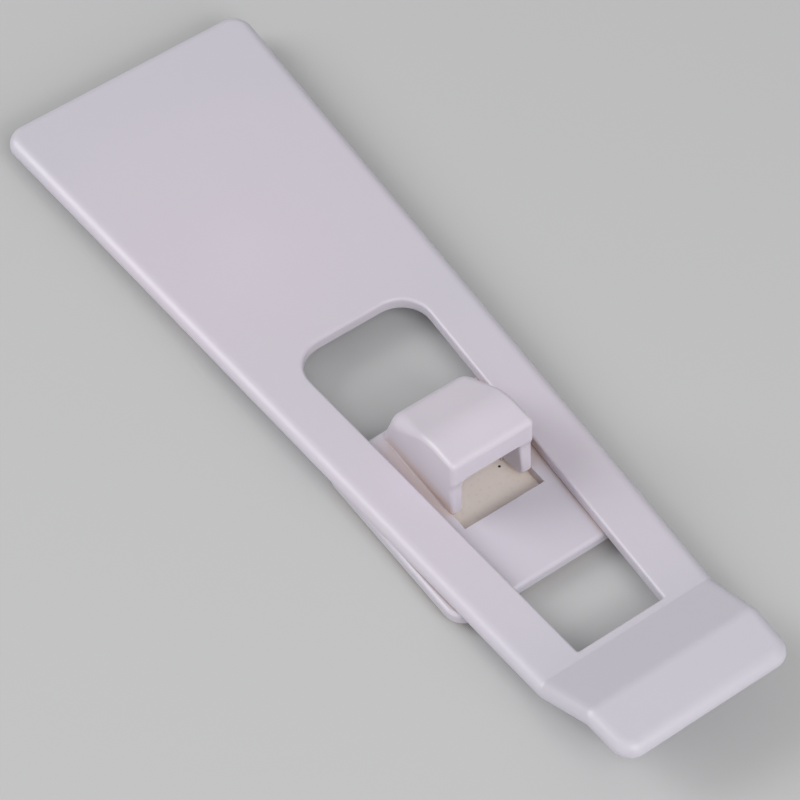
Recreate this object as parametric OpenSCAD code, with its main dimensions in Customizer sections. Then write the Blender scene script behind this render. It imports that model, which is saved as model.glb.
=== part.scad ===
// Stick-on cabinet safety lock: a tapered, springy strap with a window, and a
// catch plate whose hook stands up through that window.
// X runs from the strap's wide, fixed end to its finger tab, Y across it and Z
// away from the panel that both adhesive pads stick to.
// Sizes are in millimetres. Distances along the strap start at its wide end.

/* [Strap] */
// Overall length of the strap
strap_l = 140; // [125:1:160]
// Width of the fixed end
wide_w = 42.6; // [39:0.1:48]
// Width of the finger tab
tab_w = 27.2; // [25:0.1:32]
// Thickness of the strap
strap_t = 2; // [1.6:0.1:2.4]
// Round along the strap's upper outer edge
edge_r = 1.7; // [0.6:0.1:2]
// Corner radius of the fixed end, seen from above
wide_corner_r = 3.3; // [2.4:0.1:6]
// Distance from the fixed end to the line where the strap bends
flex_x = 54; // [45:0.5:56]
// Width of the bending line between the fixed end and the arm
flex_seam = 0.1; // [0.05:0.05:0.3]

/* [Window] */
// Distance from the fixed end to the window
window_x = 59.6; // [58:0.1:64]
// Length of the window
window_l = 61.9; // [56:0.1:63]
// Width of the rail on each side of the window, across the strap
rail_w = 7.55; // [6:0.05:9]
// Corner radius of the window's wide end
window_corner_r = 4.8; // [2:0.1:7]

/* [Finger tab] */
// Flat strip between the window and the foot of the ramp
window_land = 1; // [0.3:0.1:2]
// Run of the ramp along the strap
ramp_l = 10; // [8:0.1:12]
// Height of the tab above the rest of the strap
tab_rise = 4.9; // [3.5:0.1:6]
// Radius of the two bends at the middle of the thickness
bend_r = 1.8; // [1.3:0.1:2]
// Corner radius of the tab, seen from above
tab_corner_r = 2.8; // [2.4:0.1:5]

/* [Catch] */
// Distance from the front of the hook's legs, under the lip, to the window's narrow end
catch_x = 28.6; // [21.7:0.1:33.7]
// Width of the catch plate
catch_w = 32.6; // [28:0.1:36]
// Thickness of the catch plate
catch_t = 1.9; // [1.5:0.1:2.5]
// Length of the plate in front of the hook's legs
catch_land = 14.9; // [10:0.1:20]
// Plate left behind the foot of the hook
catch_back = 0.5; // [0.2:0.1:2]
// Corner radius of the plate
catch_corner_r = 3; // [1:0.1:5]

/* [Hook] */
// Height of the hook above the plate
hook_h = 11; // [10:0.1:13]
// Flat stretch at the top of the hook
hook_flat = 3.5; // [3:0.1:5]
// Slope of the hook's ramp in degrees
hook_ramp_a = 26.5; // [20:0.5:32]
// Length of the straight ramp
hook_ramp_l = 5.7; // [4:0.1:8]
// Round between the ramp and the flat top
hook_top_r = 10; // [6:0.5:12]
// Round between the ramp and the steep back
hook_back_r = 5; // [3:0.1:6]
// Slope of the steep back in degrees
hook_back_a = 75; // [66:1:82]
// Wall of the hollow hook: its legs, roof and lip
hook_wall = 2.1; // [1.6:0.1:2.4]
// How far the lip stands out in front of the legs
lip_out = 0.6; // [0.3:0.1:1.2]
// Height of the lip's front face
lip_h = 4.2; // [3:0.1:5]
// Height of the slope under the lip
lip_slope_h = 1.5; // [0.5:0.1:2]
// Room beside the hook at the window's narrow end
hook_side_gap = 0.25; // [0.2:0.05:0.6]
// Opening in the plate in front of the legs
hole_front = 3.2; // [2:0.1:6]
// How far the opening reaches under the legs
hole_under = 4; // [0.4:0.1:6]
// Plate left beside the opening, inside the hook's outer faces
hole_side = 0.2; // [0.1:0.05:1]
// How far the legs reach down into the opening
leg_dip = 0.5; // [0.4:0.1:1.4]
// How far the feet of the legs stand in front of their tops
leg_out = 0.6; // [0:0.1:0.9]

/* [Adhesive pads] */
// Thickness of the foam under the catch
catch_pad_t = 1; // [0.6:0.1:1.6]
// Thickness of the release paper
liner_t = 0.15; // [0.1:0.01:0.3]
// Edge of the catch plate that the pad leaves bare
catch_pad_inset = 2; // [1:0.1:4]
// Edge of the strap that the pad leaves bare
anchor_pad_inset = 3.5; // [2:0.1:6]
// Bare strap between the pad and the bending line
anchor_pad_gap = 4; // [2:0.1:10]
// Corner radius of both pads
pad_corner_r = 1; // [0.5:0.1:3]
// Air between the catch plate and the strap above it
strap_gap = 0.3; // [0.2:0.05:0.6]

/* [Hidden] */
$fn = 48;
over = 1; // Overshoot of cuts
bend_steps = 4;
edge_steps = 4;
corner_steps = 6;
plastic = [0.87, 0.86, 0.89];
foam = [0.80, 0.74, 0.65];
paper = [0.87, 0.82, 0.70];

// Heights of the stack on the panel
pad_z = liner_t;
catch_z = pad_z + catch_pad_t;
catch_top = catch_z + catch_t;
strap_z = catch_top + strap_gap;
strap_mid = strap_z + strap_t / 2;

// Plan of the strap
edge_wall = 0.3; // Upright part of the edge that the round always leaves
edge = min(edge_r, strap_t - edge_wall);
taper = (wide_w - tab_w) / 2 / strap_l;
taper_a = atan(taper);
ramp_x = window_x + window_l + window_land;
ramp_end = ramp_x + ramp_l;
window_end = window_x + window_l;
legs_x = window_end - catch_x;
tab_corner = min(tab_corner_r, strap_l - ramp_end);
function half_w(x) = wide_w / 2 - taper * x;
function window_half(x) = half_w(x) - rail_w;

// Slope of the finger tab's ramp between its two bends
ramp_a = asin(2 * bend_r / norm([ramp_l, 2 * bend_r - tab_rise]))
       - atan2(2 * bend_r - tab_rise, ramp_l);

// Slope and lift of the strap's middle layer at a distance from the fixed end
bend_run = bend_r * sin(ramp_a);
function slope(x) =
    let (rise = min(x - ramp_x, ramp_end - x) / bend_r)
    rise <= 0 ? 0 : rise >= sin(ramp_a) ? ramp_a : asin(rise);
function lift(x) =
    let (bend = bend_r * (1 - cos(slope(x))))
    x >= ramp_end - bend_run ? tab_rise - bend
    : x <= ramp_x + bend_run ? bend
    : bend + (x - ramp_x - bend_run) * tan(ramp_a);
bend_stops = [for (i = [0 : bend_steps]) bend_r * sin(ramp_a * i / bend_steps)];

// Half outlines: distance along the strap, half width, and the way inwards from there
function side_point(x) = [x, half_w(x), 0, -1 / cos(taper_a)];
function corner_points(x, r, end_a) =
    let (start_a = 90 - taper_a, y = half_w(x) - r / cos(taper_a))
    [for (i = [0 : corner_steps])
        let (a = start_a + (end_a - start_a) * i / corner_steps)
        [x + r * cos(a), y + r * sin(a), -cos(a), -sin(a)]];
anchor_half = concat(
    [side_point(flex_x - flex_seam / 2)],
    corner_points(wide_corner_r, wide_corner_r, 180));
arm_half = concat(
    [side_point(flex_x + flex_seam / 2)],
    [for (run = bend_stops) side_point(ramp_x + run)],
    [for (i = [bend_steps : -1 : 0]) side_point(ramp_end - bend_stops[i])],
    corner_points(strap_l - tab_corner, tab_corner, 0));

// Layers of the strap from its underside up: inset from the outline, height about the middle
layers = concat(
    [[0, -strap_t / 2]],
    [for (i = [0 : edge_steps])
        let (a = 90 * i / edge_steps)
        [edge * (1 - cos(a)), strap_t / 2 - edge * (1 - sin(a))]]);

// The hook's side, from the front of its top back to its foot on the plate.
// X is counted from the front of the legs and Z from the top of the plate.
hook_w = 2 * (window_half(window_end) - hook_side_gap);
mouth_w = hook_w - 2 * hook_wall;
hole_w = hook_w - 2 * hole_side;
lip_x = lip_out;
lip_z = hook_h - lip_h;
top_c = [lip_x - hook_flat, hook_h - hook_top_r];
ramp_top = top_c + hook_top_r * [-sin(hook_ramp_a), cos(hook_ramp_a)];
ramp_foot = ramp_top - hook_ramp_l * [cos(hook_ramp_a), sin(hook_ramp_a)];
back_c = ramp_foot + hook_back_r * [sin(hook_ramp_a), -cos(hook_ramp_a)];
back_top = back_c + hook_back_r * [-sin(hook_back_a), cos(hook_back_a)];
hook_foot = back_top[0] - back_top[1] / tan(hook_back_a);
plate_back = hook_foot - catch_back;
catch_l = catch_land - plate_back;
hollow_x = back_top[0] + hook_wall;
hollow_z = ramp_foot[1] - hook_wall / cos(hook_ramp_a)
         + (hollow_x - ramp_foot[0]) * tan(hook_ramp_a);
hollow_rise = hook_h - hook_wall - hollow_z;

function arc(c, r, from, to, steps = 8) =
    [for (i = [0 : steps])
        let (a = from + (to - from) * i / steps)
        c + r * [-sin(a), cos(a)]];

hook_side = concat(
    [[leg_out, -leg_dip], [0, lip_z - lip_slope_h], [lip_x, lip_z], [lip_x, hook_h]],
    arc(top_c, hook_top_r, 0, hook_ramp_a),
    arc(back_c, hook_back_r, hook_ramp_a, hook_back_a),
    [[hook_foot, 0], [hook_foot, -leg_dip]]);

// The space inside the hook, open below and to the front under the lip
hollow_side = [
    [hollow_x, -catch_t - over],
    [hollow_x, hollow_z],
    [hollow_x + hollow_rise / tan(hook_ramp_a), hook_h - hook_wall],
    [lip_x - hook_wall, hook_h - hook_wall],
    [lip_x - hook_wall, lip_z],
    [lip_x + over, lip_z],
    [lip_x + over, -catch_t - over]];

// Places the strap lengthways about the middle of the lock
module on_strap(x, z = 0) {
    translate([x - strap_l / 2, 0, z]) children();
}

module rounded_rect(l, w, r) {
    square([l - 2 * r, w], center = true);
    square([l, w - 2 * r], center = true);
    for (x = [-1, 1], y = [-1, 1])
        translate([x * (l / 2 - r), y * (w / 2 - r)]) circle(r);
}

// A point of the strap, carried up the ramp
function strap_point(x, y, n) =
    [x - n * sin(slope(x)) - strap_l / 2, y, strap_mid + lift(x) + n * cos(slope(x))];

function two_triangles(a, b, c, d) = [[a, b, c], [a, c, d]];

// One end of the strap, from the bending line to its round corners.
// first_side is 1 where the half outline runs along +X and -1 where it runs back.
module strap_plate(half, first_side) {
    n = len(half);
    top = len(layers) - 1;
    points = [for (layer = layers, side = [first_side, -first_side], p = half)
        strap_point(p[0] + layer[0] * p[2], side * (p[1] + layer[0] * p[3]), layer[1])];
    function at(layer, side, i) = (2 * layer + side) * n + i;
    walls = [for (k = [0 : top - 1], i = [0 : n - 2]) each concat(
        two_triangles(at(k, 0, i), at(k, 0, i + 1), at(k + 1, 0, i + 1), at(k + 1, 0, i)),
        two_triangles(at(k + 1, 1, i), at(k + 1, 1, i + 1), at(k, 1, i + 1), at(k, 1, i)))];
    end_wall = [for (k = [0 : top - 1]) each
        two_triangles(at(k, 0, n - 1), at(k, 1, n - 1), at(k + 1, 1, n - 1), at(k + 1, 0, n - 1))];
    faces = [for (i = [0 : n - 2]) each concat(
        two_triangles(at(0, 0, i), at(0, 1, i), at(0, 1, i + 1), at(0, 0, i + 1)),
        two_triangles(at(top, 0, i), at(top, 0, i + 1), at(top, 1, i + 1), at(top, 1, i)))];
    cut = concat([for (k = [0 : top]) at(k, 0, 0)], [for (k = [top : -1 : 0]) at(k, 1, 0)]);
    polyhedron(points, concat(walls, end_wall, faces, [cut]));
}

module window_plan() {
    xc = window_x + window_corner_r;
    yc = window_half(xc) - window_corner_r / cos(taper_a);
    touch = [xc, yc] + window_corner_r * [sin(taper_a), cos(taper_a)];
    end_y = window_half(window_end);
    polygon([[window_x, -yc], [window_x, yc], touch, [window_end, end_y],
             [window_end, -end_y], [touch[0], -touch[1]]]);
    for (side = [-1, 1])
        translate([xc, side * yc]) circle(window_corner_r);
}

// Wide end of the strap, held by its pad
module strap_anchor() {
    color(plastic) strap_plate(anchor_half, -1);
}

// Springing part of the strap: two rails round the window and the raised tab
module strap_arm() {
    color(plastic)
    difference() {
        strap_plate(arm_half, 1);
        on_strap(0, strap_z - over)
            linear_extrude(strap_t + 2 * over) window_plan();
    }
}

module anchor_plan() {
    l = flex_x - anchor_pad_gap - anchor_pad_inset;
    w = 2 * (half_w(flex_x - anchor_pad_gap) - anchor_pad_inset);
    on_strap(anchor_pad_inset + l / 2) rounded_rect(l, w, pad_corner_r);
}

// Foam tape under the wide end, as thick as the whole catch stack
module anchor_pad() {
    color(foam) translate([0, 0, pad_z])
        linear_extrude(strap_z - pad_z) anchor_plan();
}

module anchor_liner() {
    color(paper) linear_extrude(liner_t) anchor_plan();
}

// Plan shapes of the catch are drawn about the middle of its plate
module on_catch(z) {
    on_strap(legs_x + plate_back + catch_l / 2, z) children();
}

module catch_pad_plan() {
    rounded_rect(catch_l - 2 * catch_pad_inset, catch_w - 2 * catch_pad_inset, pad_corner_r);
}

// Plate and hollow hook, moulded as one
module catch_plate() {
    color(plastic)
    difference() {
        union() {
            difference() {
                on_catch(catch_z) linear_extrude(catch_t)
                    rounded_rect(catch_l, catch_w, catch_corner_r);
                on_strap(legs_x - hole_under, catch_z - over) translate([0, -hole_w / 2, 0])
                    cube([hole_under + hole_front, hole_w, catch_t + 2 * over]);
            }
            on_strap(legs_x, catch_top) rotate([90, 0, 0])
                linear_extrude(hook_w, center = true) polygon(hook_side);
        }
        on_strap(legs_x, catch_top) rotate([90, 0, 0])
            linear_extrude(mouth_w, center = true) polygon(hollow_side);
    }
}

module catch_pad() {
    color(foam) on_catch(pad_z) linear_extrude(catch_pad_t) catch_pad_plan();
}

module catch_liner() {
    color(paper) on_catch(0) linear_extrude(liner_t) catch_pad_plan();
}

strap_anchor();
strap_arm();
anchor_pad();
anchor_liner();
catch_plate();
catch_pad();
catch_liner();
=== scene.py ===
# Looks of a stick-on cabinet safety lock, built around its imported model.
# Shapes are worked out in millimetres and made metres when a mesh is finished.
import math

import bmesh
import bpy
from mathutils import Matrix, Vector


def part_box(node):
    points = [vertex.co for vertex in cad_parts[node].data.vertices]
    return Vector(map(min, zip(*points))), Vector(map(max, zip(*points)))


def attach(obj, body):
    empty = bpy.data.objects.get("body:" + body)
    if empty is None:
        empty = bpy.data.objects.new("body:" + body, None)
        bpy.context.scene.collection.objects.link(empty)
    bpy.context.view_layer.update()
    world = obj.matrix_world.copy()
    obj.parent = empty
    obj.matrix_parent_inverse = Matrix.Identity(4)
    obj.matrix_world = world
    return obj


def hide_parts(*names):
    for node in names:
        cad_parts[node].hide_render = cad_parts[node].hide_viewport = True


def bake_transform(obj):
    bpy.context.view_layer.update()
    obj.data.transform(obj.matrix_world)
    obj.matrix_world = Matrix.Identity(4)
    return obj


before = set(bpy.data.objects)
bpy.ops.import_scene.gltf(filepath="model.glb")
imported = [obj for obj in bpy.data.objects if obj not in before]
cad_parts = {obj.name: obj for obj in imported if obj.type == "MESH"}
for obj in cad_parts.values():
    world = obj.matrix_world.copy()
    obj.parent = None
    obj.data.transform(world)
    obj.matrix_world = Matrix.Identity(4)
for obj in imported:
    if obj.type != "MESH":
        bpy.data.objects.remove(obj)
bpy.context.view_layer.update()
mm = 0.001
hair = 0.001  # millimetres; nearer than this counts as touching
noiseMiddle = 0.5
noiseSpan = (0.3, 0.7)  # where most of a noise texture lies
scene = bpy.context.scene
scene.view_settings.view_transform = "Standard"


def boxMm(node):
    low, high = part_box(node)
    return low / mm, high / mm


# Node helpers, for shader and geometry trees alike
def addNode(tree, kind, **settings):
    node = tree.nodes.new(kind)
    for key, value in settings.items():
        setattr(node, key, value)
    return node


def feed(tree, socket, value):  # a socket takes a link or a plain value
    if isinstance(value, bpy.types.NodeSocket):
        tree.links.new(value, socket)
    else:
        socket.default_value = value


def calc(tree, operation, *values):
    node = addNode(tree, "ShaderNodeMath", operation=operation)
    for socket, value in zip(node.inputs, values):
        feed(tree, socket, value)
    return node.outputs[0]


def within(tree, value, low, high):
    return calc(tree, "MINIMUM", calc(tree, "MAXIMUM", value, low), high)


def mapped(tree, value, fromMin, fromMax, toMin, toMax):
    node = addNode(tree, "ShaderNodeMapRange", clamp=True)
    for socket, number in zip(node.inputs, (value, fromMin, fromMax, toMin, toMax)):
        feed(tree, socket, number)
    return node.outputs[0]


def mixed(tree, factor, first, second):  # sockets 6, 7 and 2 are the node's colours
    node = addNode(tree, "ShaderNodeMix", data_type="RGBA")
    feed(tree, node.inputs[0], factor)
    feed(tree, node.inputs[6], first)
    feed(tree, node.inputs[7], second)
    return node.outputs[2]


def noise(tree, vector, scale, detail=2.0):
    node = addNode(tree, "ShaderNodeTexNoise")
    feed(tree, node.inputs["Vector"], vector)
    feed(tree, node.inputs["Scale"], scale)
    feed(tree, node.inputs["Detail"], detail)
    return node.outputs["Fac"]


def nearestPoint(tree, vector, scale):  # distance to the nearest random point, and its colour
    node = addNode(tree, "ShaderNodeTexVoronoi")
    feed(tree, node.inputs["Vector"], vector)
    feed(tree, node.inputs["Scale"], scale)
    return node.outputs["Distance"], node.outputs["Color"]


def apart(tree, first, second):
    node = addNode(tree, "ShaderNodeVectorMath", operation="DISTANCE")
    feed(tree, node.inputs[0], first)
    feed(tree, node.inputs[1], second)
    return node.outputs["Value"]


def redOf(tree, colour):
    node = addNode(tree, "ShaderNodeSeparateColor")
    feed(tree, node.inputs[0], colour)
    return node.outputs[0]


def sockets(tree, direction, kinds):
    for name, kind in kinds.items():
        tree.interface.new_socket(name, in_out=direction, socket_type="NodeSocket" + kind)


def plainMaterial(name):
    material = bpy.data.materials.new(name)
    material.use_nodes = True
    tree = material.node_tree
    return material, tree, tree.nodes["Principled BSDF"]


# Camera at the photograph's angle: degrees, millimetres from the middle of the strap's top
photoView = {"azimuth": 56.13, "elevation": 53.43, "roll": -1.98, "distance": 440.6,
             "aimRight": 1.05, "aimUp": -4.13, "lens": 143.2, "sensor": 36.0, "nearest": 10.0}


def makeCamera(view):
    azimuth, elevation, roll = (math.radians(view[k]) for k in ("azimuth", "elevation", "roll"))
    back = Vector((math.sin(azimuth) * math.cos(elevation),
                   -math.cos(azimuth) * math.cos(elevation), math.sin(elevation)))
    level = Vector((math.cos(azimuth), math.sin(azimuth), 0))
    right = Matrix.Rotation(roll, 3, back) @ level
    up = back.cross(right)
    aim = Vector((0, 0, boxMm("strap_anchor")[1].z)) + right * view["aimRight"] + up * view["aimUp"]
    place = (aim + back * view["distance"]) * mm
    data = bpy.data.cameras.new("photoCamera")
    data.lens = view["lens"]
    data.sensor_width = view["sensor"]
    data.clip_start = view["nearest"] * mm
    camera = bpy.data.objects.new("photoCamera", data)
    scene.collection.objects.link(camera)
    turn = Matrix((right, up, back)).transposed()
    camera.matrix_world = Matrix.Translation(place) @ turn.to_4x4()
    scene.camera = camera


makeCamera(photoView)
print("camera placed")

# Pale floor and soft studio light; places and sizes in metres
studio = {
    "floorTone": (0.53, 0.53, 0.535, 1), "floorRoughness": 0.9, "floorSpecular": 0.1,
    "floorSize": 6.0, "floorDrop": 0.00005,
    "skyTone": (1.0, 1.0, 1.0, 1), "skyLight": 0.36,
    "lamps": {
        "frontBox": {"place": (0.88, 0.00, 0.45), "size": 0.6, "power": 3.7},
        "highBox": {"place": (0.65, -0.09, 0.76), "size": 0.6, "power": 3.1},
        "leftBox": {"place": (-0.60, -0.60, 0.55), "size": 0.6, "power": 5.6},
    },
}


def makeStudio(values):
    half, z = values["floorSize"] / 2, -values["floorDrop"]
    corners = ((-half, -half, z), (half, -half, z), (half, half, z), (-half, half, z))
    floorMesh = bpy.data.meshes.new("floor")
    floorMesh.from_pydata(corners, [], [(0, 1, 2, 3)])
    floor = bpy.data.objects.new("floor", floorMesh)
    scene.collection.objects.link(floor)
    paint, _, shader = plainMaterial("floorPaper")
    shader.inputs["Base Color"].default_value = values["floorTone"]
    shader.inputs["Roughness"].default_value = values["floorRoughness"]
    shader.inputs["Specular IOR Level"].default_value = values["floorSpecular"]
    floorMesh.materials.append(paint)
    world = bpy.data.worlds.new("studioSky")
    world.use_nodes = True
    sky = world.node_tree.nodes["Background"]
    sky.inputs["Color"].default_value = values["skyTone"]
    sky.inputs["Strength"].default_value = values["skyLight"]
    scene.world = world
    for name, lamp in values["lamps"].items():
        data = bpy.data.lights.new(name, "AREA")
        data.size = lamp["size"]
        data.energy = lamp["power"]
        light = bpy.data.objects.new(name, data)
        scene.collection.objects.link(light)
        light.location = lamp["place"]
        light.rotation_euler = Vector(lamp["place"]).to_track_quat("Z", "Y").to_euler()


makeStudio(studio)
print("studio lit with", len(studio["lamps"]), "soft boxes")

# Shader group for moulded plastic: lighter pink patches (on the catch they are painted light), painted
# warm shade in crevices, sparse specks, fine skin grain
skinDetail = {
    "cloudScale": 60.0, "cloudShare": 0.5, "patchEnd": 1.15,
    "fullShadeOpenness": 0.15, "noShadeOpenness": 0.66,  # openness where the painted crevice shade is full, and where there is none
    "speckScale": 75.0, "speckSize": 0.010, "speckPick": 0.78, "speckShare": 0.55,
    "speckTone": (0.16, 0.13, 0.13, 1),
    "smearScale": 160.0, "smearDetail": 4.0, "smearGloss": (-0.03, 0.05),
    "pebbleScale": 2600.0, "pebbleShare": 0.4,
    "swellScale": 240.0, "swellDetail": 1.0, "swellShare": 0.6,
}


def mouldedSkin(detail):
    tree = bpy.data.node_groups.new("mouldedSkin", "ShaderNodeTree")
    sockets(tree, "INPUT", {"Vector": "Vector", "Tone": "Color", "Blush and painted light": "Color",
                            "First patch place": "Vector", "Second patch place": "Vector", "Patch size": "Float",
                            "Shade tone": "Color", "Open": "Float", "Gloss": "Float"})
    sockets(tree, "OUTPUT", {"Color": "Color", "Roughness": "Float", "Height": "Float"})
    given = addNode(tree, "NodeGroupInput").outputs
    where = given["Vector"]

    away = calc(tree, "MINIMUM", apart(tree, where, given["First patch place"]),
                apart(tree, where, given["Second patch place"]))
    reach = calc(tree, "DIVIDE", away, given["Patch size"])
    cloud = calc(tree, "SUBTRACT", noise(tree, where, detail["cloudScale"]), noiseMiddle)
    ragged = calc(tree, "ADD", reach, calc(tree, "MULTIPLY", cloud, detail["cloudShare"]))
    patch = mapped(tree, ragged, 0.0, detail["patchEnd"], 1.0, 0.0)
    # lighter patches round two places: on the strap a pink tint, on the catch painted light
    tone = mixed(tree, patch, given["Tone"], given["Blush and painted light"])
    # painted shade: crevices and gaps near other surfaces take the darker warm crevice tone
    paintedShade = mapped(tree, given["Open"], detail["fullShadeOpenness"], detail["noShadeOpenness"], 1.0, 0.0)
    tone = mixed(tree, paintedShade, tone, given["Shade tone"])

    distance, pointColour = nearestPoint(tree, where, detail["speckScale"])
    near = calc(tree, "LESS_THAN", distance, detail["speckSize"])
    chosen = calc(tree, "GREATER_THAN", redOf(tree, pointColour), detail["speckPick"])
    speck = calc(tree, "MULTIPLY", calc(tree, "MULTIPLY", near, chosen), detail["speckShare"])
    colour = mixed(tree, speck, tone, detail["speckTone"])

    smear = noise(tree, where, detail["smearScale"], detail["smearDetail"])
    rough = calc(tree, "ADD", given["Gloss"], mapped(tree, smear, *noiseSpan, *detail["smearGloss"]))
    pebble = noise(tree, where, detail["pebbleScale"])
    swell = noise(tree, where, detail["swellScale"], detail["swellDetail"])
    height = calc(tree, "ADD", calc(tree, "MULTIPLY", pebble, detail["pebbleShare"]),
                  calc(tree, "MULTIPLY", swell, detail["swellShare"]))
    result = addNode(tree, "NodeGroupOutput")
    for socket, value in zip(result.inputs, (colour, rough, height)):
        feed(tree, socket, value)
    return tree


def placeVector(tree):
    return addNode(tree, "ShaderNodeTexCoord").outputs["Object"]


def openness(tree, reach):  # 1 in the open, less where other surfaces stand near; it sets the painted crevice shade
    shade = addNode(tree, "ShaderNodeAmbientOcclusion", samples=12)
    shade.inputs["Distance"].default_value = reach
    return shade.outputs["AO"]


def bumped(tree, shader, height, look):
    bump = addNode(tree, "ShaderNodeBump")
    bump.inputs["Strength"].default_value = look["bumpStrength"]
    bump.inputs["Distance"].default_value = look["bumpDepth"]
    feed(tree, bump.inputs["Height"], height)
    feed(tree, shader.inputs["Normal"], bump.outputs["Normal"])


# Lengths in the looks are in metres
plasticBody = {"shadeReach": 0.0035, "bumpStrength": 0.25, "bumpDepth": 0.00003, "refraction": 1.49,
               "scatter": 0.25, "scatterColours": (1.0, 0.9, 0.85), "scatterDepth": 0.0012}
# Each crevice tone below is painted shade, laid into crevices and gaps between parts
plasticLooks = {
    "strapPlastic": {
        "tone": (0.58, 0.558, 0.622, 1), "shadeTone": (0.55, 0.42, 0.38, 1), "gloss": 0.34,
        "blushAndLight": (0.63, 0.572, 0.643, 1), "patchSize": 0.034,
        "patchPlaces": ((-0.0305, -0.0057, 0.005), (0.020, 0.0, 0.005))},
    # the catch's lighter patches on the hook's top and back ramp are painted light, brightening slopes
    # the lamps reach less
    "catchPlastic": {
        "tone": (0.605, 0.572, 0.64, 1), "shadeTone": (0.56, 0.42, 0.36, 1), "gloss": 0.32,
        "blushAndLight": (0.672, 0.618, 0.69, 1), "patchSize": 0.014,
        "patchPlaces": ((0.018, 0.0, 0.013), (0.012, 0.0, 0.011))},
}
skin = mouldedSkin(skinDetail)


def makePlastic(name, look, solid):
    material, tree, shader = plainMaterial(name)
    group = addNode(tree, "ShaderNodeGroup", node_tree=skin)
    firstPatch, secondPatch = look["patchPlaces"]
    for socket, value in {
            "Vector": placeVector(tree), "Tone": look["tone"], "Blush and painted light": look["blushAndLight"],
            "First patch place": firstPatch, "Second patch place": secondPatch, "Patch size": look["patchSize"],
            "Shade tone": look["shadeTone"], "Open": openness(tree, solid["shadeReach"]),
            "Gloss": look["gloss"]}.items():
        feed(tree, group.inputs[socket], value)
    feed(tree, shader.inputs["Base Color"], group.outputs["Color"])
    feed(tree, shader.inputs["Roughness"], group.outputs["Roughness"])
    bumped(tree, shader, group.outputs["Height"], solid)
    shader.inputs["IOR"].default_value = solid["refraction"]
    shader.inputs["Subsurface Weight"].default_value = solid["scatter"]
    shader.inputs["Subsurface Radius"].default_value = solid["scatterColours"]
    shader.inputs["Subsurface Scale"].default_value = solid["scatterDepth"]
    return material


foamLook = {
    "tone": (0.88, 0.795, 0.735, 1), "pale": (0.91, 0.83, 0.77, 1),
    "cloudScale": 120.0, "cloudDetail": 3.0, "cloudSpan": (0.35, 0.65),
    "pore": (0.74, 0.65, 0.58, 1), "poreScale": 1100.0, "poreReach": 0.35, "poreShare": 0.35,
    "fleck": (0.02, 0.015, 0.015, 1), "fleckPlace": (0.0195, 0.0040, 0.00115),
    "fleckSize": 0.00024, "fleckCore": 0.7,
    "roughness": (0.62, 0.8), "specular": 0.3, "bumpStrength": 0.35, "bumpDepth": 0.00008,
}


def makeFoam(look):
    material, tree, shader = plainMaterial("foamTape")
    where = placeVector(tree)
    distance, _ = nearestPoint(tree, where, look["poreScale"])
    cloud = noise(tree, where, look["cloudScale"], look["cloudDetail"])
    tone = mixed(tree, mapped(tree, cloud, *look["cloudSpan"], 0.0, 1.0), look["tone"], look["pale"])
    pore = mapped(tree, distance, 0.0, look["poreReach"], look["poreShare"], 0.0)
    away = apart(tree, where, look["fleckPlace"])
    fleck = mapped(tree, away, look["fleckSize"] * look["fleckCore"], look["fleckSize"], 1.0, 0.0)
    colour = mixed(tree, fleck, mixed(tree, pore, tone, look["pore"]), look["fleck"])
    feed(tree, shader.inputs["Base Color"], colour)
    feed(tree, shader.inputs["Roughness"], mapped(tree, cloud, *noiseSpan, *look["roughness"]))
    bumped(tree, shader, distance, look)
    shader.inputs["Specular IOR Level"].default_value = look["specular"]
    return material


paperLook = {
    "tone": (0.80, 0.745, 0.62, 1), "fibre": (0.70, 0.64, 0.52, 1), "fibreShare": 0.8,
    "fibreStretch": (1.0, 5.0, 1.0), "fibreScale": 700.0, "fibreDetail": 5.0, "fibreSpan": (0.4, 0.7),
    "roughness": (0.40, 0.52), "bumpStrength": 0.2, "bumpDepth": 0.00003,
}


def makePaper(look):
    material, tree, shader = plainMaterial("releasePaper")
    stretch = addNode(tree, "ShaderNodeMapping")
    stretch.inputs["Scale"].default_value = look["fibreStretch"]
    feed(tree, stretch.inputs["Vector"], placeVector(tree))
    fibres = noise(tree, stretch.outputs["Vector"], look["fibreScale"], look["fibreDetail"])
    share = mapped(tree, fibres, *look["fibreSpan"], 0.0, look["fibreShare"])
    feed(tree, shader.inputs["Base Color"], mixed(tree, share, look["tone"], look["fibre"]))
    feed(tree, shader.inputs["Roughness"], mapped(tree, fibres, *noiseSpan, *look["roughness"]))
    bumped(tree, shader, fibres, look)
    return material


plastics = {name: makePlastic(name, look, plasticBody) for name, look in plasticLooks.items()}
foam = makeFoam(foamLook)
paper = makePaper(paperLook)
print("materials:", ", ".join([*plastics, foam.name, paper.name]))


# Mesh helpers
def boxPlan(node, corner):  # a node's box, and a plan with round corners that fills it
    low, high = boxMm(node)
    return low, high, {"start": low.x, "end": high.x, "startHalf": high.y, "endHalf": high.y,
                       "startCorner": corner, "endCorner": corner}


def cornerLoop(plan, inset, steps=10):  # plan outline with round corners, counter-clockwise from above
    start, end = plan["start"], plan["end"]
    lean = math.atan((plan["startHalf"] - plan["endHalf"]) / (end - start))
    side = math.pi / 2 - lean
    loop = []
    for x, radius, sign, fromAngle, toAngle in (
            (end - plan["endCorner"], plan["endCorner"], -1, -side, 0),
            (end - plan["endCorner"], plan["endCorner"], 1, 0, side),
            (start + plan["startCorner"], plan["startCorner"], 1, side, math.pi),
            (start + plan["startCorner"], plan["startCorner"], -1, math.pi, 2 * math.pi - side)):
        y = plan["startHalf"] - math.tan(lean) * (x - start) - radius / math.cos(lean)
        reach = radius - inset
        for i in range(steps + 1):
            angle = fromAngle + (toAngle - fromAngle) * i / steps
            loop.append((x + reach * math.cos(angle), sign * y + reach * math.sin(angle)))
    return loop


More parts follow.
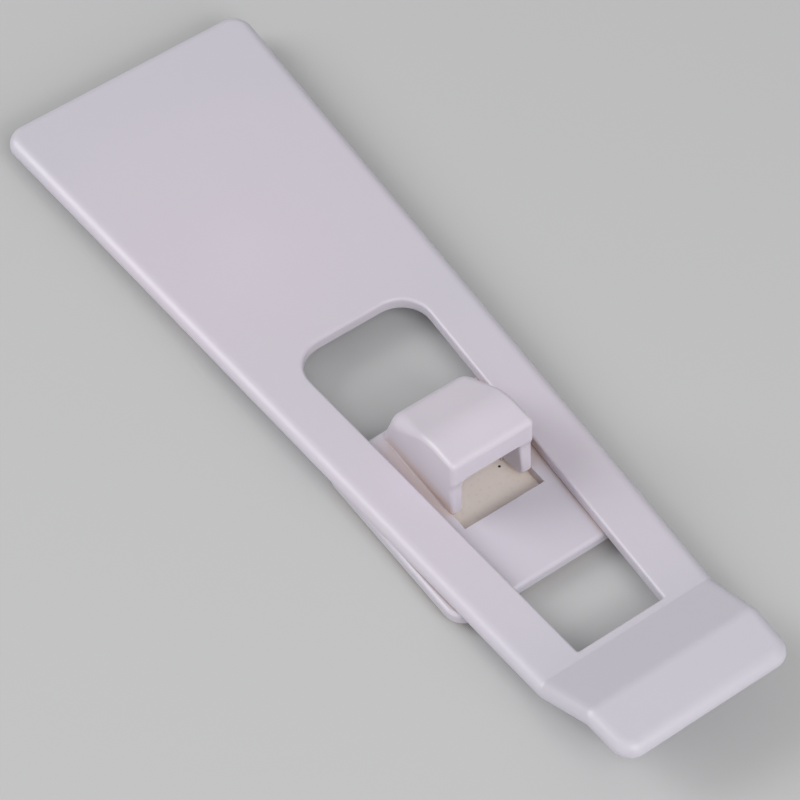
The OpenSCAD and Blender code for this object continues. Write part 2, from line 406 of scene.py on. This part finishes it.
def quarterTurn(steps):
    return [math.pi / 2 * i / steps for i in range(steps + 1)]


def quarterRound(radius, steps):  # inset and drop, from the wall to the face
    return [(radius * (1 - math.cos(a)), radius * (1 - math.sin(a))) for a in quarterTurn(steps)]


def edgeLevels(low, high, topRound, underRound, rim, steps=8):  # inset and height of each ring of a plate
    under = [(inset, low + drop) for inset, drop in reversed(quarterRound(underRound, steps // 2))]
    top = [(inset, high - drop) for inset, drop in quarterRound(topRound, steps)]
    return [(underRound + rim, low), *under, *top, (topRound + rim, high)]


def plateRings(plan, levels, sign=1):  # sign is -1 for an opening, whose edges round outwards
    return [[(x, y, z) for x, y in cornerLoop(plan, sign * inset)] for inset, z in levels]


def addRings(bm, rings):
    loops = [[bm.verts.new(point) for point in ring] for ring in rings]
    for low, high in zip(loops, loops[1:]):
        for i in range(len(low)):
            bm.faces.new((low[i - 1], low[i], high[i], high[i - 1]))
    return loops


def ringSolid(rings):  # closed at its first and last ring
    bm = bmesh.new()
    loops = addRings(bm, rings)
    bm.faces.new(loops[0])
    bm.faces.new(loops[-1])
    return bm


def fillBetween(bm, *loops):
    edges = [bm.edges.get((loop[i - 1], loop[i])) for loop in loops for i in range(len(loop))]
    bmesh.ops.triangle_fill(bm, use_beauty=True, edges=edges)


def crossCuts(bm, places, snap=1e-4):
    for x in places:
        everything = bm.verts[:] + bm.edges[:] + bm.faces[:]
        bmesh.ops.bisect_plane(bm, geom=everything, dist=snap, plane_co=(x, 0, 0), plane_no=(1, 0, 0))


def meshPiece(bm, name):
    bmesh.ops.recalc_face_normals(bm, faces=bm.faces[:])
    mesh = bpy.data.meshes.new(name)
    bm.to_mesh(mesh)
    bm.free()
    piece = bpy.data.objects.new(name, mesh)
    scene.collection.objects.link(piece)
    return piece


def finishMesh(bm, name, material):
    bm.transform(Matrix.Scale(mm, 4))
    piece = meshPiece(bm, name)
    piece.data.polygons.foreach_set("use_smooth", [True] * len(piece.data.polygons))
    piece.data.materials.append(material)
    return piece


def bakeModifiers(piece):  # the evaluated result becomes a plain mesh
    shown = piece.evaluated_get(bpy.context.evaluated_depsgraph_get())
    mesh = bpy.data.meshes.new_from_object(shown)
    piece.modifiers.clear()
    piece.data = mesh
    mesh.name = piece.name


def growTree(piece, tree, values):
    modifier = piece.modifiers.new(tree.name, "NODES")
    modifier.node_group = tree
    for item in tree.interface.items_tree:
        if item.in_out == "INPUT" and item.name in values:
            modifier[item.identifier] = values[item.name]
    bakeModifiers(piece)


def endTree(tree, geometry, material):  # every tree ends in plain geometry with its material
    plain = addNode(tree, "GeometryNodeRealizeInstances")
    coat = addNode(tree, "GeometryNodeSetMaterial")
    feed(tree, plain.inputs["Geometry"], geometry)
    feed(tree, coat.inputs["Geometry"], plain.outputs["Geometry"])
    feed(tree, coat.inputs["Material"], material)
    feed(tree, addNode(tree, "NodeGroupOutput").inputs[0], coat.outputs["Geometry"])


# Geometry tree that bends a flat strap up a ramp to its raised tab
def tabCrank():
    tree = bpy.data.node_groups.new("tabCrank", "GeometryNodeTree")
    sockets(tree, "INPUT", {"Geometry": "Geometry", "Ramp start": "Float", "Ramp run": "Float",
                            "Slope": "Float", "Bend radius": "Float", "Middle": "Float",
                            "Plastic": "Material"})
    sockets(tree, "OUTPUT", {"Geometry": "Geometry"})
    given = addNode(tree, "NodeGroupInput").outputs
    split = addNode(tree, "ShaderNodeSeparateXYZ")
    feed(tree, split.inputs[0], addNode(tree, "GeometryNodeInputPosition").outputs[0])
    x, y, z = split.outputs
    radius, slope = given["Bend radius"], given["Slope"]
    bendRun = calc(tree, "MULTIPLY", radius, calc(tree, "SINE", slope))
    along = calc(tree, "SUBTRACT", x, given["Ramp start"])
    toEnd = calc(tree, "SUBTRACT", given["Ramp run"], along)

    def bendAngle(distance):
        run = within(tree, distance, 0.0, bendRun)
        return calc(tree, "ARCSINE", calc(tree, "DIVIDE", run, radius))

    lower, upper = bendAngle(along), bendAngle(toEnd)
    straight = calc(tree, "SUBTRACT", given["Ramp run"], calc(tree, "MULTIPLY", bendRun, 2.0))
    climb = within(tree, calc(tree, "SUBTRACT", along, bendRun), 0.0, straight)
    turned = calc(tree, "ADD", calc(tree, "SUBTRACT", 1.0, calc(tree, "COSINE", lower)),
                  calc(tree, "SUBTRACT", calc(tree, "COSINE", upper), calc(tree, "COSINE", slope)))
    lift = calc(tree, "ADD", calc(tree, "MULTIPLY", radius, turned),
                calc(tree, "MULTIPLY", climb, calc(tree, "TANGENT", slope)))
    tilt = calc(tree, "MINIMUM", lower, upper)
    height = calc(tree, "SUBTRACT", z, given["Middle"])
    newX = calc(tree, "SUBTRACT", x, calc(tree, "MULTIPLY", height, calc(tree, "SINE", tilt)))
    newZ = calc(tree, "ADD", calc(tree, "ADD", given["Middle"], lift),
                calc(tree, "MULTIPLY", height, calc(tree, "COSINE", tilt)))
    point = addNode(tree, "ShaderNodeCombineXYZ")
    for socket, value in zip(point.inputs, (newX, y, newZ)):
        feed(tree, socket, value)
    moved = addNode(tree, "GeometryNodeSetPosition")
    feed(tree, moved.inputs["Geometry"], given["Geometry"])
    feed(tree, moved.inputs["Position"], point.outputs[0])
    endTree(tree, moved.outputs["Geometry"], given["Plastic"])
    return tree


# The strap: one moulding from the stuck-down wide end to the finger tab.
# Places along it are counted from the wide end, apart from the flex's, which are in the frame.
strapSizes = {
    "wideWidth": 42.6, "tabWidth": 27.2, "wideCorner": 3.3, "tabCorner": 2.8,
    "edgeRound": 1.7, "underRound": 0.2, "rim": 0.15,
    "windowStart": 59.6, "windowLength": 61.9, "railWidth": 7.55,
    "windowWideCorner": 4.8, "windowNarrowCorner": 0.3, "windowRound": 0.45, "windowLand": 1.0,
    "rampRun": 10.0, "rampRise": 4.9, "bendRadius": 1.8, "bendCuts": 10,
    "flexFrom": -20.0, "flexTo": 16.0, "flexCuts": 20,
}


def strapCuts(sizes, rampStart, slope):  # where the flat strap is cut across, so that it can bend
    cuts = sizes["bendCuts"]
    bend = [sizes["bendRadius"] * math.sin(slope * i / cuts) for i in range(cuts + 1)]
    stops = [-sizes["rim"], *bend, bend[-1] + sizes["rim"]]
    rampEnd = rampStart + sizes["rampRun"]
    flexStep = (sizes["flexTo"] - sizes["flexFrom"]) / sizes["flexCuts"]
    flex = [sizes["flexFrom"] + flexStep * i for i in range(sizes["flexCuts"] + 1)]
    return sorted([*flex, *(rampStart + stop for stop in stops), *(rampEnd - stop for stop in stops)])


def makeStrap(sizes):
    low, high = boxMm("strap_anchor")
    start, end = low.x, boxMm("strap_arm")[1].x
    wideHalf, tabHalf = sizes["wideWidth"] / 2, sizes["tabWidth"] / 2
    taper = (wideHalf - tabHalf) / (end - start)
    windowStart = start + sizes["windowStart"]
    windowEnd = windowStart + sizes["windowLength"]
    windowHalf = wideHalf - sizes["railWidth"] - taper * sizes["windowStart"]
    outline = {"start": start, "end": end, "startHalf": wideHalf, "endHalf": tabHalf,
               "startCorner": sizes["wideCorner"], "endCorner": sizes["tabCorner"]}
    window = {"start": windowStart, "end": windowEnd, "startHalf": windowHalf,
              "endHalf": windowHalf - taper * sizes["windowLength"],
              "startCorner": sizes["windowWideCorner"], "endCorner": sizes["windowNarrowCorner"]}
    bm = bmesh.new()
    outer = addRings(bm, plateRings(outline, edgeLevels(
        low.z, high.z, sizes["edgeRound"], sizes["underRound"], sizes["rim"])))
    inner = addRings(bm, plateRings(window, edgeLevels(
        low.z, high.z, sizes["windowRound"], sizes["underRound"], sizes["rim"]), -1))
    fillBetween(bm, outer[-1], inner[-1])
    fillBetween(bm, outer[0], inner[0])

    run, rise, radius = sizes["rampRun"], sizes["rampRise"], sizes["bendRadius"]
    short = 2 * radius - rise
    slope = math.asin(2 * radius / math.hypot(run, short)) - math.atan2(short, run)
    rampStart = windowEnd + sizes["windowLand"]
    crossCuts(bm, strapCuts(sizes, rampStart, slope))

    piece = finishMesh(bm, "strap", plastics["strapPlastic"])
    growTree(piece, tabCrank(), {
        "Ramp start": rampStart * mm, "Ramp run": run * mm, "Slope": slope, "Bend radius": radius * mm,
        "Middle": (low.z + high.z) / 2 * mm, "Plastic": plastics["strapPlastic"]})
    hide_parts("strap_anchor", "strap_arm")
    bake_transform(piece)
    print("strap:", len(piece.data.polygons), "faces")


makeStrap(strapSizes)


# Rounds the corners of a closed outline; each corner is x, z, its round, and its side edge's round
def filletLoop(corners, steps):
    loop = []
    for i, (x, z, radius, edge) in enumerate(corners):
        here = Vector((x, z))
        before = (Vector(corners[i - 1][:2]) - here).normalized()
        after = (Vector(corners[(i + 1) % len(corners)][:2]) - here).normalized()
        if radius == 0:
            loop.append((here, edge))
            continue
        half = before.angle(after) / 2
        middle = here + (before + after).normalized() * radius / math.sin(half)
        first = here + before * radius / math.tan(half) - middle
        sweep = first.angle_signed(here + after * radius / math.tan(half) - middle)
        for k in range(steps + 1):
            loop.append((middle + Matrix.Rotation(-sweep * k / steps, 2) @ first, edge))
    return loop


def insetLoop(loop, insets, sharpest=0.5):  # moves each point inwards by its own distance
    area = sum(loop[i - 1][0].cross(loop[i][0]) for i in range(len(loop)))
    moved = []
    for i, (point, _) in enumerate(loop):
        before = (point - loop[i - 1][0]).normalized()
        after = (loop[(i + 1) % len(loop)][0] - point).normalized()
        along = (before + after).normalized()
        inward = Vector((-along.y, along.x)) * math.copysign(1, area)
        moved.append(point + inward * insets[i] / max(sharpest, along.dot(after)))
    return moved


# The catch: a plate with a hollow hook that stands up through the window.
# Angles are in degrees. The hook stands 0.25 clear of the window's narrow end on each side.
catchSizes = {
    "thickness": 1.9, "front": 14.9, "corner": 3.0, "edgeRound": 0.6, "underRound": 0.25, "rim": 0.12,
    "hookWidth": 13.635, "wall": 2.1, "flat": 3.5, "topRound": 10.0, "frontRound": 0.9,
    "rampAngle": 26.5, "rampLength": 5.7, "backRound": 5.0, "backAngle": 75.0, "footDip": 1.0,
    "lipOut": 0.6, "lipHeight": 4.2, "lipRound": 1.9, "lipSlope": 1.5, "slopeRound": 3.6,
    "legTop": 0.2, "legOut": 0.6, "legDip": 0.5, "legRound": 0.85, "outlineSteps": 10,
    "sideRound": {"leg": 0.6, "lip": 0.6, "front": 0.7, "top": 0.8, "back": 2.0, "foot": 1.2,
                  "buried": 0.3}, "sideSteps": 8,
    "mouthCorner": 0.9, "mouthSoft": 0.4, "lipSoft": 0.25, "mouthDraft": 0.3, "mouthDepth": 2.6,
    "standSteps": 24, "archSteps": 8, "flareTo": 86.0, "flareSteps": 8,
    "holeUnder": 4.0, "holeFront": 3.2, "holeSide": 0.2, "holeSoft": 0.12, "over": 1.0,
    "footFillet": 0.5, "filletSegments": 5, "straightFoot": 3.0, "flatAngle": 0.5, "creaseAngle": 30.0,
    "sliver": 0.004, "sharpAngle": 35.0,
}


def extruded(name, outline, half):  # outline in x and z, drawn across the lock
    return meshPiece(ringSolid([[(x, y, z) for x, z in outline] for y in (-half, half)]), name)


def hookSide(sizes, height):  # side view of the hook; x from the front of the legs, z from the plate
    slope, back = math.radians(sizes["rampAngle"]), math.radians(sizes["backAngle"])
    turnX = sizes["lipOut"] - sizes["flat"] - sizes["topRound"] * math.tan(slope / 2)
    rampRun = (sizes["topRound"] * math.tan(slope / 2) + sizes["rampLength"]
               + sizes["backRound"] * math.tan((back - slope) / 2))
    backX, backZ = turnX - rampRun * math.cos(slope), height - rampRun * math.sin(slope)
    footX = backX - backZ / math.tan(back)
    lipX, lipZ = sizes["lipOut"], height - sizes["lipHeight"]
    edge = sizes["sideRound"]
    corners = [
        (footX, -sizes["footDip"], 0, edge["buried"]),
        (sizes["legOut"], -sizes["legDip"], sizes["legRound"], edge["leg"]),
        (sizes["legTop"], lipZ - sizes["lipSlope"], sizes["slopeRound"], edge["leg"]),
        (lipX, lipZ, sizes["lipRound"], edge["lip"]),
        (lipX, height, sizes["frontRound"], edge["front"]),
        (turnX, height, sizes["topRound"], edge["top"]),
        (backX, backZ, sizes["backRound"], edge["back"]),
        (footX, 0, 0, edge["foot"])]
    wall, under = sizes["wall"], -sizes["thickness"] - sizes["over"]
    roof, hollowX = height - wall, backX + wall
    hollowZ = backZ - wall / math.cos(slope) + wall * math.tan(slope)
    hollow = [(hollowX, under), (lipX - wall, under), (lipX - wall, roof),
              (hollowX + (roof - hollowZ) / math.tan(slope), roof), (hollowX, hollowZ)]
    return filletLoop(corners, sizes["outlineSteps"]), hollow


def makeHook(sizes, loop, legsX, top):
    edges = [edge for _, edge in loop]
    half = sizes["hookWidth"] / 2
    rounding = [(share, drop, 0.0) for share, drop in quarterRound(1.0, sizes["sideSteps"])]
    rings = []
    for share, drop, extra in [*rounding, (1.0, 0.0, sizes["rim"])]:
        points = insetLoop(loop, [edge * share + extra for edge in edges])
        rings.append([(legsX + p.x, half - edge * drop, top + p.y) for p, edge in zip(points, edges)])
    otherSide = [[(x, -y, z) for x, y, z in ring] for ring in reversed(rings)]
    return meshPiece(ringSolid(otherSide + rings), "hook")


def frontAt(chain, z):  # x of the hook's front face at a height
    for (low, _), (high, _) in zip(chain, chain[1:]):
        if low.y <= z < high.y:
            return low.x + (high.x - low.x) * (z - low.y) / (high.y - low.y)
    return chain[0][0].x if z < chain[0][0].y else chain[-1][0].x


def makeMouth(sizes, loop, legsX, top, half, lipZ):  # arch through the hook's front, with rounded edges
    front = max(point.x for point, _ in loop) + sizes["over"]
    chain = [pair for pair in loop if pair[0].x > -hair and pair[0].y < lipZ + sizes["over"]]
    corner, under = sizes["mouthCorner"], -sizes["thickness"] - sizes["over"]
    steps = sizes["standSteps"]
    stand = [under + (lipZ - corner - under) * i / steps for i in range(steps)]
    arch = [(1, 0.0, z) for z in stand] + [(1, angle, None) for angle in quarterTurn(sizes["archSteps"])]
    arch += [(-1, angle, z) for _, angle, z in reversed(arch)]

    def ring(flare, draft, place=None):  # flare runs from 0, inside, to a right angle at the front face
        grown = 1 - math.cos(flare)
        points = []
        for sign, angle, z in arch:
            y = half - corner + (corner + sizes["mouthSoft"] * grown) * math.cos(angle)
            if z is None:
                z = lipZ - corner + (corner + sizes["lipSoft"] * grown) * math.sin(angle)
            else:
                y += draft * (lipZ - corner - z) / lipZ
            soft = sizes["mouthSoft"] * math.cos(angle) ** 2 + sizes["lipSoft"] * math.sin(angle) ** 2
            x = frontAt(chain, z) - soft * (1 - math.sin(flare)) if place is None else place
            points.append((legsX + x, sign * y, top + z))
        return points

    last, draft, steps = math.radians(sizes["flareTo"]), sizes["mouthDraft"], sizes["flareSteps"]
    flared = [ring(last * i / steps, draft) for i in range(steps + 1)]
    rings = [ring(0.0, 0.0, -sizes["mouthDepth"]), *flared, ring(last, draft, front)]
    return meshPiece(ringSolid(rings), "mouth")


def cutAndJoin(shell, tools):  # the tools work in order and are then removed
    for tool, operation in tools.items():
        cut = shell.modifiers.new(tool.name, "BOOLEAN")
        cut.operation = operation
        cut.object = tool
        cut.solver = "EXACT"
    bakeModifiers(shell)
    for tool in tools:
        bpy.data.objects.remove(tool)


def softenCatch(piece, sizes, legsX, top):  # fillet at the hook's foot, soft edge round the opening
    bm = bmesh.new()
    bm.from_mesh(piece.data)
    flat, crease = math.radians(sizes["flatAngle"]), math.radians(sizes["creaseAngle"])
    bmesh.ops.dissolve_limit(bm, angle_limit=flat, verts=bm.verts[:], edges=bm.edges[:])
    share = bm.edges.layers.float.new("bevel_weight_edge")
    for edge in bm.edges:
        turn = edge.calc_face_angle_signed(0.0)
        ends = [vert.co - Vector((legsX, 0, top)) for vert in edge.verts]
        if abs(turn) < crease or any(abs(p.z) > hair for p in ends):  # only creases on the plate's face
            continue
        if turn < 0 and (ends[0] - ends[1]).length > sizes["straightFoot"]:
            edge[share] = 1.0
        elif turn > 0 and min(p.x for p in ends) < sizes["holeFront"] + hair:
            edge[share] = sizes["holeSoft"] / sizes["footFillet"]
    bm.to_mesh(piece.data)
    bm.free()
    soften = piece.modifiers.new("soften", "BEVEL")
    soften.limit_method = "WEIGHT"
    soften.width = sizes["footFillet"]
    soften.segments = sizes["filletSegments"]
    soften.use_clamp_overlap = False
    bakeModifiers(piece)


def makeCatch(sizes):
    low, high, plan = boxPlan("catch_plate", sizes["corner"])
    top = low.z + sizes["thickness"]
    legsX = high.x - sizes["front"]
    height = high.z - top
    shell = meshPiece(ringSolid(plateRings(plan, edgeLevels(
        low.z, top, sizes["edgeRound"], sizes["underRound"], sizes["rim"]))), "shell")

    side, inside = hookSide(sizes, height)
    hookHalf = sizes["hookWidth"] / 2
    mouthHalf = hookHalf - sizes["wall"]
    hook = makeHook(sizes, side, legsX, top)
    hollow = extruded("hollow", [(legsX + x, top + z) for x, z in inside], mouthHalf)
    mouth = makeMouth(sizes, side, legsX, top, mouthHalf, height - sizes["lipHeight"])
    holeBack, holeFront = legsX - sizes["holeUnder"], legsX + sizes["holeFront"]
    holeLow, holeHigh = low.z - sizes["over"], top + sizes["over"]
    hole = extruded("hole", [(holeBack, holeLow), (holeFront, holeLow), (holeFront, holeHigh),
                             (holeBack, holeHigh)], hookHalf - sizes["holeSide"])
    cutAndJoin(shell, {hole: "DIFFERENCE", hook: "UNION", hollow: "DIFFERENCE", mouth: "DIFFERENCE"})
    softenCatch(shell, sizes, legsX, top)

    bm = bmesh.new()
    bm.from_mesh(shell.data)
    bpy.data.objects.remove(shell)
    bmesh.ops.dissolve_degenerate(bm, dist=sizes["sliver"], edges=bm.edges[:])
    piece = finishMesh(bm, "catch", plastics["catchPlastic"])
    piece.data.set_sharp_from_angle(angle=math.radians(sizes["sharpAngle"]))
    weigh = piece.modifiers.new("weightedNormals", "WEIGHTED_NORMAL")
    weigh.keep_sharp = True
    bakeModifiers(piece)
    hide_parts("catch_plate")
    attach(piece, "catch")
    print("catch:", len(piece.data.polygons), "faces")


makeCatch(catchSizes)


# Geometry tree that draws in a foam pad's cut sides and roughens them
def foamSides():
    tree = bpy.data.node_groups.new("foamSides", "GeometryNodeTree")
    sockets(tree, "INPUT", {"Geometry": "Geometry", "Bottom": "Float", "Height": "Float",
                            "Neck": "Float", "Cell size": "Float", "Cell depth": "Float",
                            "Foam": "Material"})
    sockets(tree, "OUTPUT", {"Geometry": "Geometry"})
    given = addNode(tree, "NodeGroupInput").outputs
    where = addNode(tree, "GeometryNodeInputPosition").outputs[0]
    split = addNode(tree, "ShaderNodeSeparateXYZ")
    feed(tree, split.inputs[0], where)
    above = calc(tree, "SUBTRACT", split.outputs[2], given["Bottom"])
    level = calc(tree, "DIVIDE", above, given["Height"])
    free = calc(tree, "SINE", calc(tree, "MULTIPLY", level, math.pi))  # 0 on both faces
    grain = noise(tree, where, calc(tree, "DIVIDE", 1.0, given["Cell size"]))
    pits = calc(tree, "MULTIPLY", calc(tree, "SUBTRACT", grain, noiseMiddle), given["Cell depth"])
    shift = calc(tree, "MULTIPLY", calc(tree, "SUBTRACT", pits, given["Neck"]), free)
    push = addNode(tree, "ShaderNodeVectorMath", operation="SCALE")
    feed(tree, push.inputs[0], addNode(tree, "GeometryNodeInputNormal").outputs[0])
    feed(tree, push.inputs["Scale"], shift)
    moved = addNode(tree, "GeometryNodeSetPosition")
    feed(tree, moved.inputs["Geometry"], given["Geometry"])
    feed(tree, moved.inputs["Offset"], push.outputs[0])
    endTree(tree, moved.outputs["Geometry"], given["Foam"])
    return tree


# The two foam pads, each on its release paper
padSizes = {"corner": 1.0, "cornerSteps": 4, "edgeRound": 0.08, "pitch": 0.5, "sideLevels": 9,
            "neck": 0.12, "cellSize": 0.45, "cellDepth": 0.22, "sharpAngle": 40.0, "fill": 1.0}
linerSizes = {"corner": 1.0, "edgeRound": 0.03, "rim": 0.05, "edgeSteps": 4}
foamTree = foamSides()


def spread(loop, pitch):  # adds points along the straight stretches of a loop
    points = []
    for i in range(len(loop)):
        first, last = Vector(loop[i - 1]), Vector(loop[i])
        count = max(1, round((last - first).length / pitch))
        points += [first.lerp(last, k / count) for k in range(1, count + 1)]
    return points


def makePad(name, node, body, sizes):
    low, high, plan = boxPlan(node, sizes["corner"])
    bevel, steps = sizes["edgeRound"], sizes["sideLevels"]
    wall = high.z - low.z - 2 * bevel
    levels = [(0, low.z + bevel + wall * i / steps) for i in range(steps + 1)]
    outline = spread(cornerLoop(plan, 0, sizes["cornerSteps"]), sizes["pitch"])
    middle = (low.x + high.x) / 2
    rings = [[(p.x - math.copysign(inset, p.x - middle), p.y - math.copysign(inset, p.y), z)
              for p in outline] for inset, z in [(bevel, low.z), *levels, (bevel, high.z)]]
    piece = finishMesh(ringSolid(rings), name, foam)
    growTree(piece, foamTree, {
        "Bottom": low.z * mm, "Height": (high.z - low.z) * mm, "Neck": sizes["neck"] * mm,
        "Cell size": sizes["cellSize"] * mm, "Cell depth": sizes["cellDepth"] * mm, "Foam": foam})
    piece.data.set_sharp_from_angle(angle=math.radians(sizes["sharpAngle"]))
    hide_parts(node)
    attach(piece, body)
    print(name + ":", len(piece.data.polygons), "faces")


def makeLiner(name, node, body, sizes):
    low, high, plan = boxPlan(node, sizes["corner"])
    levels = edgeLevels(low.z, high.z, sizes["edgeRound"], sizes["edgeRound"], sizes["rim"],
                        sizes["edgeSteps"])
    piece = finishMesh(ringSolid(plateRings(plan, levels)), name, paper)
    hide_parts(node)
    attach(piece, body)
    print(name + ":", len(piece.data.polygons), "faces")


for body in ("anchor", "catch"):
    makePad(body + "FoamPad", body + "_pad", body, padSizes)
    makeLiner(body + "ReleasePaper", body + "_liner", body, linerSizes)
